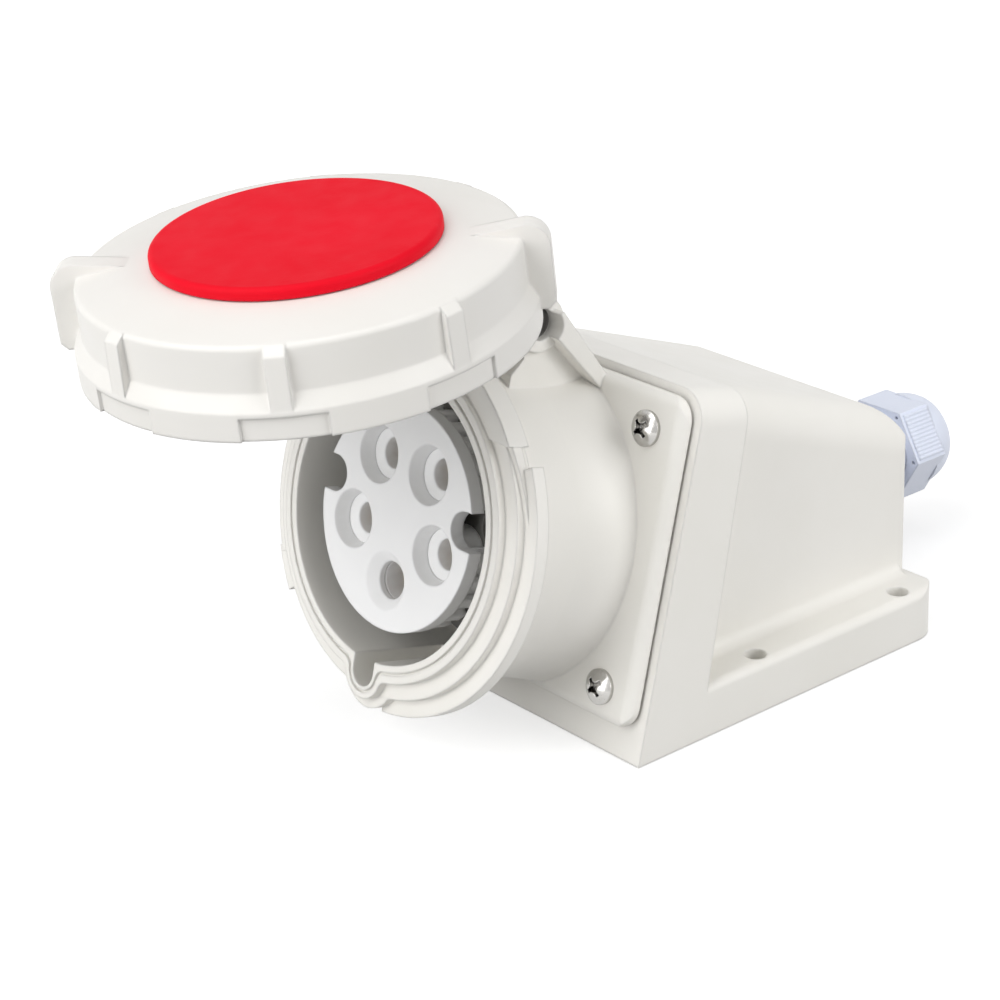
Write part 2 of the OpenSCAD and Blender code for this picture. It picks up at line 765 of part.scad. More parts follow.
module insert_face() {
    color(insert_color) on_sleeve() difference() {
        translate([0, 0, guide_n]) cylinder(r = insert_r, h = face_t);
        for (k = [0 : 4]) at_contact(k) face_entry(k);
        screw_notches();
    }
}

// A skirt behind the face disc, open at the notches, and a tube for each pin
module pin_guide() {
    color(insert_color) on_sleeve() {
        difference() {
            translate([0, 0, contact_top]) cylinder(r = insert_core_r, h = guide_t);
            translate([0, 0, contact_top - 1]) cylinder(r = insert_core_r - guide_skirt_t, h = guide_t + 2);
            screw_notches();
        }
        for (k = [0 : 4]) at_contact(k) difference() {
            translate([0, 0, contact_top]) cylinder(r = guide_hole(k) + guide_tube_t, h = guide_t);
            guide_entry(k);
        }
    }
}

module contact_carrier() {
    color(insert_color) on_sleeve() difference() {
        union() {
            translate([0, 0, carrier_low]) cylinder(r = insert_r, h = insert_screw_seat - carrier_low);
            translate([0, 0, carrier_low]) cylinder(r = insert_core_r, h = contact_top - carrier_low);
            translate([0, 0, web_n + web_t]) cylinder(r = carrier_flange_r, h = carrier_flange_t);
        }
        for (k = [0 : 4]) at_contact(k) contact_seat(k);
        screw_notches();
        both_sides() translate([insert_screw_x, insert_screw_s, -1])
            cylinder(d = insert_screw_d + 2 * screw_clear, h = far);
    }
}

module terminal_block() {
    color(insert_color) on_sleeve() difference() {
        translate([0, 0, web_n - block_len]) cylinder(r = block_r, h = block_len);
        for (k = [0 : 4]) at_contact(k) translate([0, 0, -far / 2])
            cylinder(r = contact_r(k) + seat_clear, h = far);
        both_sides() translate([insert_screw_x, insert_screw_s, web_n - block_len + 2])
            cylinder(d = insert_screw_d + 2 * thread_clear, h = far);
    }
}

// A contact tube: pin bore in front, collar in the middle, wire hole and screw hole at the back
module contact(k) {
    r = contact_r(k);
    color(brass_color) on_sleeve() at_contact(k) difference() {
        union() {
            translate([0, 0, contact_bottom]) cylinder(r = r, h = contact_top - contact_bottom);
            translate([0, 0, web_n + seat_clear]) cylinder(r = r + contact_collar, h = contact_collar_len);
        }
        translate([0, 0, contact_top - contact_bore_len])
            cylinder(r = pin_d(k) / 2 + pin_clear, h = contact_bore_len + 1);
        translate([0, 0, contact_bottom - 1]) cylinder(r = wire_r, h = wire_len + 1);
        translate([0, 0, terminal_screw_n]) rotate([0, 90, 0])
            cylinder(r = terminal_screw_r + thread_clear, h = far);
    }
}

module contact_l1() {
    contact(0);
}

module contact_l2() {
    contact(1);
}

module contact_l3() {
    contact(2);
}

module contact_n() {
    contact(3);
}

module contact_earth() {
    contact(4);
}

module terminal_screws() {
    head_r = 3;
    head_h = 1.8;
    color(steel_color) on_sleeve() for (k = [0 : 4]) at_contact(k)
        translate([contact_r(k) + 1, 0, terminal_screw_n]) rotate([0, 90, 0])
            pan_screw(head_r, head_h, terminal_screw_r, contact_r(k) + 1 - wire_r / 2);
}

module carrier_screws() {
    color(steel_color) on_sleeve() for (s = [-1, 1])
        translate([s * insert_screw_x, insert_screw_s, insert_screw_seat])
            pan_screw(insert_screw_head_r, insert_screw_head_h, insert_screw_d / 2, insert_screw_len);
}

module plate_screws() {
    color(steel_color) on_front() for (p = plate_screws_at) translate([p[0], p[1], plate_n]) rotate(45)
        pan_screw(plate_screw_head_d / 2, plate_screw_head_h, plate_screw_d / 2, plate_screw_len);
}

module hinge_pin() {
    color(steel_color) on_sleeve() translate([0, hinge_s, hinge_n]) rotate([0, 90, 0]) {
        translate([0, 0, -ear_out]) cylinder(r = pin_r, h = ear_out + pin_seat + eps);
        intersection() {
            translate([0, 0, pin_seat]) cylinder(r = pin_head_r, h = pin_head_t);
            translate([0, 0, pin_seat + pin_head_t - pin_dome_r]) sphere(pin_dome_r);
        }
    }
}

module hexagon(r) {
    circle(r, $fn = 6);
}

module gland_body() {
    color(gland_color) on_gland() difference() {
        union() {
            translate([0, 0, 1]) cylinder(r = gland_r, h = gland_hex_y);
            translate([0, 0, gland_hex_y]) linear_extrude(gland_hex_len) hexagon(gland_hex_r);
            translate([0, 0, gland_hex_y]) cylinder(r = gland_outer_r, h = gland_end - gland_hex_y);
        }
        translate([0, 0, -1]) cylinder(r = gland_bore_r, h = far);
        for (a = [0 : gland_slots - 1]) rotate(a * 360 / gland_slots)
            translate([0, -gland_slot_w / 2, gland_nut_y + 1]) cube([far, gland_slot_w, far]);
    }
}

module gland_washer() {
    color(rubber_color) on_gland() translate([0, 0, neck_len]) difference() {
        cylinder(r = gland_flats / 2, h = gland_washer_t);
        translate([0, 0, -1]) cylinder(r = gland_r + seat_clear, h = gland_washer_t + 2);
    }
}

module gland_bush() {
    color(rubber_color) on_gland() translate([0, 0, gland_end - bush_len]) difference() {
        cylinder(r = gland_bore_r - seat_clear, h = bush_len);
        translate([0, 0, -1]) cylinder(d = cable_d, h = bush_len + 2);
    }
}

module gland_nut() {
    dome_r = gland_flats / 2 + 0.4;
    dome_z = gland_nut_len - 1;
    color(gland_color) on_gland() translate([0, 0, gland_nut_y]) difference() {
        union() {
            intersection() {
                linear_extrude(gland_nut_len) hexagon(gland_hex_r);
                translate([0, 0, gland_nut_len + 3.4 - gland_hex_r])
                    cylinder(r1 = 2 * gland_hex_r, r2 = 9, h = gland_hex_r);
            }
            intersection() {
                translate([0, 0, dome_z]) sphere(dome_r);
                translate([0, 0, dome_z]) cylinder(r = dome_r, h = gland_dome_len + 1);
            }
        }
        translate([0, 0, -1]) cylinder(r = gland_outer_r + gland_clear, h = gland_nut_grip + 1.3);
        translate([0, 0, -1]) cylinder(d = cable_d + 1, h = far);
        for (a = [0 : 60 : 300]) rotate(a) translate([gland_hex_r - nut_pit_inset, 0, -1])
            cylinder(d = nut_pit_d, h = nut_pit_depth + 1);
    }
}

module lid_arm() {
    intersection() {
        translate([0, 0, arm_step - 1]) cylinder(r = inner_lid_r, h = inner_lid_top - arm_step + 1);
        translate([-arm_half, arm_in, -far / 2]) cube([2 * arm_half, far, far]);
    }
    intersection() {
        translate([0, 0, arm_low]) cylinder(r = band_arm_r, h = arm_step - arm_low);
        translate([-arm_half, arm_in, -far / 2]) cube([2 * arm_half, far, far]);
    }
    along_x(-arm_half, arm_half) polygon([[arm_in, arm_step - 1], [band_arm_r - 2, arm_step - 1],
        [band_arm_r - 2, arm_low], [hinge_s, arm_low - 0.4], [hinge_s + knuckle_r - 1, hinge_z + 3.4],
        [hinge_s, hinge_z], [hinge_s - knuckle_r + 0.6, hinge_z - 2.2], [arm_in + 0.6, hinge_z + 4]]);
    along_x(-knuckle_half, knuckle_half) translate([hinge_s, hinge_z]) circle(knuckle_r);
}

module inner_lid() {
    color(housing_color) on_lid() difference() {
        union() {
            translate([0, 0, inner_lid_z]) cylinder(r = inner_lid_r, h = inner_lid_t);
            translate([0, 0, inner_lid_z]) cylinder(r = boss_r, h = disc_z - inner_lid_z);
            lid_arm();
        }
        translate([0, 0, inner_lid_z - 1])
            cylinder(r = boss_recess_r, h = disc_z - boss_wall - inner_lid_z + 1);
        translate([0, 0, inner_lid_z - 1]) difference() {
            cylinder(r = seal_out_r + seat_clear, h = seal_groove + 1);
            translate([0, 0, -1]) cylinder(r = seal_in_r - seat_clear, h = seal_groove + 3);
        }
        for (a = [30, 150, 270]) rotate(a) translate([disc_screw_circle, 0, 0])
            cylinder(r = disc_screw_r + screw_clear, h = far);
        translate([-far / 2, hinge_s, hinge_z]) rotate([0, 90, 0]) cylinder(r = pin_r + hinge_clear, h = far);
    }
}

module lid_seal() {
    color(rubber_color) on_lid() translate([0, 0, seal_gap]) difference() {
        cylinder(r = seal_out_r, h = inner_lid_z + seal_groove - seal_gap);
        translate([0, 0, -1]) cylinder(r = seal_in_r, h = inner_lid_z + seal_groove + 2);
    }
}

module lid_disc() {
    color(red_color) on_lid() translate([0, 0, disc_z]) difference() {
        rotate_extrude() {
            square([disc_r - disc_edge_r, disc_t]);
            square([disc_r, disc_t - disc_edge_r]);
            translate([disc_r - disc_edge_r, disc_t - disc_edge_r]) circle(disc_edge_r);
        }
        for (a = [30, 150, 270]) rotate(a) translate([disc_screw_circle, 0, -1])
            cylinder(r = disc_screw_r + thread_clear, h = disc_screw_grip + 1 + seat_clear);
    }
}

module disc_screws() {
    color(steel_color) on_lid() for (a = [30, 150, 270]) rotate(a)
        translate([disc_screw_circle, 0, disc_z - boss_wall]) mirror([0, 0, 1])
            pan_screw(disc_screw_head_r, disc_screw_head_h, disc_screw_r, boss_wall + disc_screw_grip);
}

// Half section of the ring: top wall, rounded shoulder, drum, ledge and band
module ring_section() {
    slope_r = drum_r - drum_round;
    slope_z = ring_top - ring_slope_drop;
    hub_r = boss_r + ring_clear;
    difference() {
        polygon([[hub_r, ring_top], [disc_r + 0.2, ring_top], [slope_r, slope_z], [drum_r, slope_z],
            [drum_r, ledge_top], [band_r, ledge_low], [band_r, -band_low], [band_in_r, -band_low],
            [band_in_r, band_slope_low], [drum_in_r, band_slope_top], [drum_in_r, slope_z - ring_wall],
            [hub_r + ring_wall, ring_top - ring_wall], [hub_r + ring_wall, inner_lid_top + ring_clear],
            [hub_r, inner_lid_top + ring_clear]]);
        corner_cut([slope_r, slope_z - drum_round], drum_round, [1, 0], [0, 1]);
    }
}

module radial_plate(t) {
    rotate([90, 0, 0]) translate([0, 0, -t / 2]) linear_extrude(t) children();
}

module finger_lug() {
    radial_plate(lug_t) difference() {
        polygon([[34, ring_top - 0.9], [lug_r - lug_round, lug_top], [lug_r, lug_top], [lug_r, lug_low + 1.5],
            [lug_r - 1.5, lug_low], [drum_r - 0.2, lug_low], [drum_r - 1.2, ring_top - 3.8]]);
        corner_cut([lug_r - lug_round, lug_top - lug_round], lug_round, [1, 0], [0, 1]);
    }
}

module small_rib() {
    radial_plate(rib_w) polygon([[drum_r - 2.2, ring_top - 2.4], [drum_r - 0.4, ring_top - 2.35],
        [band_r - 0.5, ring_top - 4.2], [band_r - 0.1, ledge_low - 0.2], [band_in_r + 0.8, ledge_low - 0.2],
        [drum_r - 1.2, 0], [drum_r - 1.2, ring_top - 7.4]]);
}

module bayonet_ring() {
    color(housing_color) on_lid() {
        difference() {
            union() {
                rotate_extrude() ring_section();
                for (a = lug_angles) rotate(a + rib_turn) finger_lug();
                for (a = rib_angles) rotate(a + rib_turn) small_rib();
            }
            for (a = rib_angles) rotate(a + rib_turn)
                ring_part([-window_span / 2, window_span / 2], band_r - window_depth, band_r + 5,
                    -band_low - 1, window_top);
        }
        for (a = [0, 180]) rotate(a + bayonet_turn)
            ring_part([-bayonet_span / 2, bayonet_span / 2], bayonet_r, band_in_r + 0.5,
                -band_low + bayonet_low, -band_low + bayonet_low + bayonet_t);
    }
}

back_box();
socket_shell();
plate_gasket();
insert_face();
pin_guide();
contact_carrier();
terminal_block();
contact_l1();
contact_l2();
contact_l3();
contact_n();
contact_earth();
terminal_screws();
carrier_screws();
plate_screws();
hinge_pin();
gland_body();
gland_washer();
gland_bush();
gland_nut();
inner_lid();
lid_seal();
lid_disc();
disc_screws();
bayonet_ring();
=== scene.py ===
# %% [markdown]
# # A wall mounted pin and sleeve socket
# The real object is an industrial outlet: a box that screws to a wall, a round
# sleeve with five contact holes, and a lid on a hinge whose ring turns to lock
# it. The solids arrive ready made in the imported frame, so this lesson is about
# what Blender adds to them: finishes, small moulded detail, light and a camera.

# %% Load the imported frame
import math

import bpy
import numpy as np
from mathutils import Matrix, Vector


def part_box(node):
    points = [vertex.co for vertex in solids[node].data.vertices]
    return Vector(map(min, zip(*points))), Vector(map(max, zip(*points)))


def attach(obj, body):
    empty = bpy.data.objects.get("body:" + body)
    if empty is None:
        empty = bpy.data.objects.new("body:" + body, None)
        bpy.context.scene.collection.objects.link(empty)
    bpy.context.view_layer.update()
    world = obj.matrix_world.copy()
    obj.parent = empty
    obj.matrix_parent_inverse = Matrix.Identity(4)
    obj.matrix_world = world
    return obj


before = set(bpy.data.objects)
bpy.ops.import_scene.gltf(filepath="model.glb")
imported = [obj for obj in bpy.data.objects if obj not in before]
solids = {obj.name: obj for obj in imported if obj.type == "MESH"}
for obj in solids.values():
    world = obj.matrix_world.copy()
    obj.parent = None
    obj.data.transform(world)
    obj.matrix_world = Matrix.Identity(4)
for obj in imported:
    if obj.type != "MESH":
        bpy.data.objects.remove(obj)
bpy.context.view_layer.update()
MM = 0.001

# %% [markdown]
# ## Camera
# The photograph looks at the outlet from its right front corner, a little from
# above, with a long lens. The angle, the distance and the lens were fitted to
# corners and screws of the real object, so the camera is written as those
# numbers. A target with an azimuth and an elevation is easier to read than a
# bare matrix, and the small roll and shift finish the framing.

# %% Camera at the photograph's angle
azimuth, elevation, roll = math.radians(50.893), math.radians(22.062), math.radians(-2.124)
target, distance = Vector((0, -0.06402, 0.0631)), 0.6044
back = Vector((math.sin(azimuth) * math.cos(elevation),
               -math.cos(azimuth) * math.cos(elevation),
               math.sin(elevation)))
level = Vector((math.cos(azimuth), math.sin(azimuth), 0))
upright = back.cross(level)
right = level * math.cos(roll) + upright * math.sin(roll)
top = upright * math.cos(roll) - level * math.sin(roll)

camera_data = bpy.data.cameras.new("photo_camera")
camera_data.lens, camera_data.sensor_width = 97.71, 36
camera_data.shift_x, camera_data.shift_y = 0.013, -0.058
camera_data.clip_start, camera_data.clip_end = 0.01, 20
camera = bpy.data.objects.new("photo_camera", camera_data)
camera.matrix_world = Matrix((right, top, back)).transposed().to_4x4()
camera.location = target + back * distance
bpy.context.scene.collection.objects.link(camera)
bpy.context.scene.camera = camera
bpy.context.scene.view_settings.view_transform = "Standard"
print("camera stands at", [round(v, 3) for v in camera.location])

# %% [markdown]
# ## Node helpers
# Every finish below is a small node tree. A few helpers keep the trees short.
# The first turns a screen colour into the linear value that a shader wants.

# %% Screen colours
SRGB_KNEE, SRGB_SLOPE, SRGB_OFFSET, SRGB_POWER = 0.04045, 12.92, 0.055, 2.4


def tone(red, green, blue):
    """A screen colour as a linear colour: each channel over 255, put through the sRGB curve."""
    part = np.array([red, green, blue]) / 255
    curve = ((part + SRGB_OFFSET) / (1 + SRGB_OFFSET)) ** SRGB_POWER
    return (*np.where(part <= SRGB_KNEE, part / SRGB_SLOPE, curve).tolist(), 1.0)


print("white is", [round(v, 2) for v in tone(255, 255, 255)])

# %% [markdown]
# The others add nodes. A socket takes either the output of another node or a
# plain value, and wire() deals with both. On top of it come a node with its
# sockets filled by name, a sum, a mix of two colours by a mask, a change of
# span, the coordinates that stay put on a body that moves, and an empty
# material.

# %% Node helpers
# Places of the colour sockets on a Mix node.
MIX_MASK, MIX_FIRST, MIX_SECOND, MIX_RESULT = 0, 6, 7, 2


def wire(tree, value, socket):
    """Links the output of a node to a socket, or writes a plain value into it."""
    if isinstance(value, bpy.types.NodeSocket):
        tree.links.new(value, socket)
    else:
        socket.default_value = value


def add(tree, kind, settings=(), **sockets):
    """Adds a node, sets its properties from settings and fills its sockets by name."""
    node = tree.nodes.new(kind)
    for name, value in dict(settings).items():
        setattr(node, name, value)
    for name, value in sockets.items():
        wire(tree, value, node.inputs[name.replace("_", " ")])
    return node


def work_out(tree, operation, *values, kind="ShaderNodeMath"):
    """The number that a math node makes of the values, taken in their order."""
    node = add(tree, kind, {"operation": operation})
    for value, socket in zip(values, node.inputs):
        wire(tree, value, socket)
    return node.outputs["Value"]


def blend_colour(tree, mask, first, second):
    """A colour that runs from first, where the mask is 0, to second, where it is 1."""
    node = add(tree, "ShaderNodeMix", {"data_type": "RGBA"})
    for place, value in ((MIX_MASK, mask), (MIX_FIRST, first), (MIX_SECOND, second)):
        wire(tree, value, node.inputs[place])
    return node.outputs[MIX_RESULT]


def spread(tree, value, low, high, new_low=0, new_high=1):
    """Carries a value from the span low..high to new_low..new_high, and stops at its ends."""
    node = add(tree, "ShaderNodeMapRange", Value=value, From_Min=low, From_Max=high,
               To_Min=new_low, To_Max=new_high)
    return node.outputs[0]


def object_place(tree):
    """Object coordinates, in metres."""
    return tree.nodes.new("ShaderNodeTexCoord").outputs["Object"]


def new_finish(name):
    """A material with an empty node tree, and that tree."""
    finish = bpy.data.materials.new(name)
    finish.use_nodes = True
    finish.node_tree.nodes.clear()
    return finish, finish.node_tree


print("node helpers ready")

# %% [markdown]
# ## Studio
# The photograph is a shop picture: a white ground, a broad soft light overhead
# and almost no shadow. The ground is one wide sheet. Its own colour bounces
# light up under the sleeve, and only to the camera does it add a glow that
# lifts it to white, so the soft shadow at the foot stays and the object isn't
# overexposed.

# %% Ground
GROUND_HALF, GROUND_DROP = 4.0, 0.3 * MM
GROUND_BOUNCE, GROUND_SHOWN = (0.42, 0.42, 0.42, 1), (0.55, 0.55, 0.55, 1)
GLOW_NEAR, GLOW_FAR, GLOW_LEAST = 0.3, 0.8, 0.62


def seen_directly(tree):
    """1 for a camera, mirror or glass ray and 0 for the rays that carry light."""
    ray = tree.nodes.new("ShaderNodeLightPath").outputs
    first = work_out(tree, "MAXIMUM", ray["Is Camera Ray"], ray["Is Glossy Ray"])
    return work_out(tree, "MAXIMUM", first, ray["Is Transmission Ray"])


def ground_finish():
    """Matte grey plus, where it is seen directly, a glow that grows with the distance."""
    finish, tree = new_finish("studio_ground")
    direct = seen_directly(tree)
    colour = blend_colour(tree, direct, GROUND_BOUNCE, GROUND_SHOWN)
    matte = add(tree, "ShaderNodeBsdfDiffuse", Color=colour)
    reach = work_out(tree, "LENGTH", object_place(tree), kind="ShaderNodeVectorMath")
    lift = spread(tree, reach, GLOW_NEAR, GLOW_FAR, GLOW_LEAST, 1.0)
    glow = add(tree, "ShaderNodeEmission", Strength=work_out(tree, "MULTIPLY", direct, lift))
    both = tree.nodes.new("ShaderNodeAddShader")
    wire(tree, matte.outputs[0], both.inputs[0])
    wire(tree, glow.outputs[0], both.inputs[1])
    add(tree, "ShaderNodeOutputMaterial", Surface=both.outputs[0])
    return finish


def studio_ground():
    """A flat square sheet just under the wall face."""
    corners = np.array([[-1, -1, 0], [1, -1, 0], [1, 1, 0], [-1, 1, 0]]) * GROUND_HALF
    mesh = bpy.data.meshes.new("studio_ground")
    mesh.from_pydata(corners - [0, 0, GROUND_DROP], [], [[0, 1, 2, 3]])
    mesh.materials.append(ground_finish())
    ground = bpy.data.objects.new("studio_ground", mesh)
    bpy.context.scene.collection.objects.link(ground)


studio_ground()
print("ground ready,", 2 * GROUND_HALF, "m wide")

# %% [markdown]
# The world does the same as the ground: it gives plain grey light and is white
# to the camera.

# %% World
SKY_LIGHT = 0.28
world = bpy.data.worlds.new("studio_air")
world.use_nodes = True
air = world.node_tree
air.nodes.clear()
strength = spread(air, seen_directly(air), 0, 1, SKY_LIGHT, 1.0)
sky = add(air, "ShaderNodeBackground", Color=(1, 1, 1, 1), Strength=strength)
add(air, "ShaderNodeOutputWorld", Surface=sky.outputs[0])
bpy.context.scene.world = world
print("sky ready, its light", SKY_LIGHT)

# %% [markdown]
# Four soft boxes do the rest. One overhead and one high in front whiten the top
# of the lid and let the sleeve darken towards its underside. A wide, low one in
# front reaches under the open lid to the contact insert and puts a highlight on
# the screws. One at the right keeps the long side of the box from going grey.

# %% Soft lamps
LAMP_AIM = (0, -0.05, 0.06)


def soft_box(name, place, width, level):
    """A square lamp that lights a facing surface at its aim to about level times its colour."""
    lamp = bpy.data.lights.new(name, "AREA")
    lamp.size = width
    reach = Vector(place) - Vector(LAMP_AIM)
    lamp.energy = level * math.pi ** 2 * reach.length_squared
    facing = reach.to_track_quat("Z", "Y").to_matrix().to_4x4()
    holder = bpy.data.objects.new(name, lamp)
    holder.matrix_world = Matrix.Translation(place) @ facing
    bpy.context.scene.collection.objects.link(holder)


soft_box("overhead_box", place=(-0.1, 0.0, 1.25), width=0.9, level=0.18)
soft_box("high_front_box", place=(0.0, -0.75, 1.15), width=0.8, level=0.3)
soft_box("front_box", place=(-0.05, -1.25, 0.5), width=1.2, level=0.78)
soft_box("side_box", place=(1.2, 0.38, 0.62), width=0.8, level=0.53)
print("lamps ready:", sorted(bpy.data.lights.keys()))

# %% [markdown]
# ## Shared surface effects
# Moulded plastic is never one flat colour. The tool that shaped it leaves a
# fine spark grain, the melt leaves slow clouds of tint, and edges come out
# slightly round and polished by hands. Each effect is a node group, built once
# and placed in every finish with its own sizes.

# %% Effect: rounded edges
EDGE_SAMPLES = 6
# Cosine of the lean at which an edge starts to show, and at which it is full.
EDGE_STARTS, EDGE_FULL = 0.99, 0.8


def new_group(name, takes, gives):
    """A node group with number inputs and outputs of the kinds given, and its end sockets."""
    group = bpy.data.node_groups.new(name, "ShaderNodeTree")
    for label, value in takes.items():
        socket = group.interface.new_socket(label, in_out="INPUT", socket_type="NodeSocketFloat")
        socket.default_value = value
    for label, kind in gives.items():
        group.interface.new_socket(label, in_out="OUTPUT", socket_type="NodeSocket" + kind)
    take, give = group.nodes.new("NodeGroupInput"), group.nodes.new("NodeGroupOutput")
    return group, take.outputs, give.inputs


def make_rounded_edges():
    """Normal is the surface's normal averaged over a small radius; Edge is how far it leans."""
    group, take, give = new_group("rounded_edges", {"Radius": 0.5 * MM},
                                  {"Normal": "Vector", "Edge": "Float"})
    soft = add(group, "ShaderNodeBevel", {"samples": EDGE_SAMPLES}, Radius=take["Radius"])
    plain = group.nodes.new("ShaderNodeNewGeometry")
    lean = work_out(group, "DOT_PRODUCT", soft.outputs[0], plain.outputs["Normal"],
                    kind="ShaderNodeVectorMath")
    wire(group, soft.outputs[0], give["Normal"])
    wire(group, spread(group, lean, EDGE_STARTS, EDGE_FULL), give["Edge"])
    return group


rounded_edges = make_rounded_edges()
print("made", rounded_edges.name)

# %% [markdown]
# The grain is two noises of different sizes added together: a fine spark
# texture and a broader orange peel. The clouds of tint and of gloss are slower
# noises. All read Object coordinates, so they stay put on a moving lid.

# %% Effect: moulded skin
FINE_SHARE, PEEL_SHARE = 0.65, 0.35
# Cells of the peel to each one of the grain, and of the gloss to each one of the tint.
PEEL_CELLS, GLOSS_CELLS = 0.25, 5.0
CLOUD_LOW, CLOUD_HIGH = 0.3, 0.7


def noise(tree, place, scale, detail):
    """A cloud of values about 0.5, with scale cells to the metre."""
    return add(tree, "ShaderNodeTexNoise", Vector=place, Scale=scale, Detail=detail).outputs[0]


def make_moulded_skin():
    """Height is a share of a fine noise plus one of a coarser; Tint and Gloss are slow clouds."""
    group, take, give = new_group("moulded_skin", {"Grain": 3000.0, "Cloud": 40.0},
                                  {"Height": "Float", "Tint": "Float", "Gloss": "Float"})
    place = object_place(group)
    peel_scale = work_out(group, "MULTIPLY", take["Grain"], PEEL_CELLS)
    gloss_scale = work_out(group, "MULTIPLY", take["Cloud"], GLOSS_CELLS)
    fine = noise(group, place, take["Grain"], detail=2.0)
    peel = noise(group, place, peel_scale, detail=1.0)
    tint = noise(group, place, take["Cloud"], detail=3.0)
    gloss = noise(group, place, gloss_scale, detail=4.0)
    peel_part = work_out(group, "MULTIPLY", peel, PEEL_SHARE)
    wire(group, work_out(group, "MULTIPLY_ADD", fine, FINE_SHARE, peel_part), give["Height"])
    wire(group, spread(group, tint, CLOUD_LOW, CLOUD_HIGH), give["Tint"])
    wire(group, spread(group, gloss, CLOUD_LOW, CLOUD_HIGH), give["Gloss"])
    return group


moulded_skin = make_moulded_skin()
print("made", moulded_skin.name)

# %% [markdown]
# Handled metal shows hair scratches. A noise that is stretched hard along one
# direction turns into long streaks, and only its brightest threads are kept.

# %% Effect: hair scratches
SCRATCH_TURN, SCRATCH_STRETCH = (0.4, 0.9, 0.3), (1.0, 0.025, 1.0)
SCRATCH_STARTS, SCRATCH_FULL = 0.6, 0.72


def make_hair_scratches():
    """Scratch is a noise with cells stretched 40 times, of which only the peaks are kept."""
    group, take, give = new_group("hair_scratches", {"Scale": 2500.0}, {"Scratch": "Float"})
    turn = add(group, "ShaderNodeMapping", Vector=object_place(group),
               Rotation=SCRATCH_TURN, Scale=SCRATCH_STRETCH)
    streak = noise(group, turn.outputs[0], take["Scale"], detail=2.0)
    wire(group, spread(group, streak, SCRATCH_STARTS, SCRATCH_FULL), give["Scratch"])
    return group


hair_scratches = make_hair_scratches()
print("made", hair_scratches.name)

# %% [markdown]
# The star in a screw head is a narrow pit that little light gets into, so it reads nearly black.
# That shade is painted into the colour: how open a point is to its
# surroundings, measured over a millimetre or so, finds such pits.

# %% Effect: painted shade in pits
PIT_SAMPLES = 8
# Free share of the sky over a point at which a pit starts, and at which it is full.
PIT_STARTS, PIT_FULL = 0.72, 0.4


def make_painted_pit_shade():
    """Pit, the mask of painted shade, grows from 0 to 1 as less of the sky over a point is free
    within the reach.
    """
    group, take, give = new_group("painted_pit_shade", {"Reach": 1.5 * MM}, {"Pit": "Float"})
    free = add(group, "ShaderNodeAmbientOcclusion",
               {"samples": PIT_SAMPLES, "only_local": True}, Distance=take["Reach"])
    wire(group, spread(group, free.outputs["AO"], PIT_STARTS, PIT_FULL), give["Pit"])
    return group


painted_pit_shade = make_painted_pit_shade()
print("made", painted_pit_shade.name)

# %% [markdown]
# ## Finishes
# The outlet has one family of moulded plastics, two steels and a brass. A
# moulded finish takes a colour, the tint its clouds drift to, the paler tint of
# rubbed edges, a gloss span and the sizes of its grain and edge rounding.

# %% Moulded plastic
PLASTIC_CLOUDS = 35.0  # to the metre


def place_group(tree, group, **sockets):
    """Places a node group in a tree, fills its inputs and gives its outputs."""
    return add(tree, "ShaderNodeGroup", {"node_tree": group}, **sockets).outputs


def shade(tree, **sockets):
    """Ends a tree with a Principled shader whose sockets are filled by name."""
    shader = add(tree, "ShaderNodeBsdfPrincipled", **sockets)
    add(tree, "ShaderNodeOutputMaterial", Surface=shader.outputs[0])


def moulded_finish(name, colour, cloud, rubbed, gloss,
                   grain=0.3, relief=0.006, edge=0.5, shine=0.4):
    """Plastic with grain cells grain mm wide and relief mm deep, and edges rounded to edge mm."""
    finish, tree = new_finish(name)
    skin = place_group(tree, moulded_skin, Grain=1 / (grain * MM), Cloud=PLASTIC_CLOUDS)
    edges = place_group(tree, rounded_edges, Radius=edge * MM)
    tinted = blend_colour(tree, skin["Tint"], colour, cloud)
    bump = add(tree, "ShaderNodeBump", Height=skin["Height"], Normal=edges["Normal"],
               Strength=1.0, Distance=relief * MM)
    shade(tree, Base_Color=blend_colour(tree, edges["Edge"], tinted, rubbed),
          Roughness=spread(tree, skin["Gloss"], 0, 1, *gloss),
          Normal=bump.outputs[0], Specular_IOR_Level=shine)
    return finish


box_plastic = moulded_finish(
    "box_plastic", tone(238, 236, 231), tone(235, 233, 227), tone(243, 241, 237),
    gloss=(0.36, 0.46), edge=0.8)
lid_plastic = moulded_finish(
    "lid_plastic", tone(226, 224, 220), tone(223, 221, 216), tone(232, 230, 227),
    gloss=(0.38, 0.48), edge=0.9)
insert_plastic = moulded_finish(
    "insert_plastic", tone(246, 246, 246), tone(243, 243, 243), tone(249, 249, 250),
    gloss=(0.42, 0.52), edge=0.8)
carrier_plastic = moulded_finish(
    "carrier_plastic", tone(122, 121, 117), tone(116, 115, 111), tone(135, 134, 130),
    gloss=(0.45, 0.55))
gland_plastic = moulded_finish(
    "gland_plastic", tone(224, 229, 243), tone(219, 225, 240), tone(232, 236, 247),
    gloss=(0.34, 0.44), grain=0.25, edge=0.4)
disc_plastic = moulded_finish(
    "disc_plastic", tone(223, 14, 38), tone(218, 11, 33), tone(236, 47, 66),
    gloss=(0.5, 0.6), grain=0.5, relief=0.03, edge=0.8, shine=0.08)
seal_rubber = moulded_finish(
    "seal_rubber", tone(38, 39, 41), tone(46, 47, 49), tone(60, 61, 63),
    gloss=(0.6, 0.78), grain=0.4, relief=0.01, edge=0.3)
print("made seven moulded finishes")
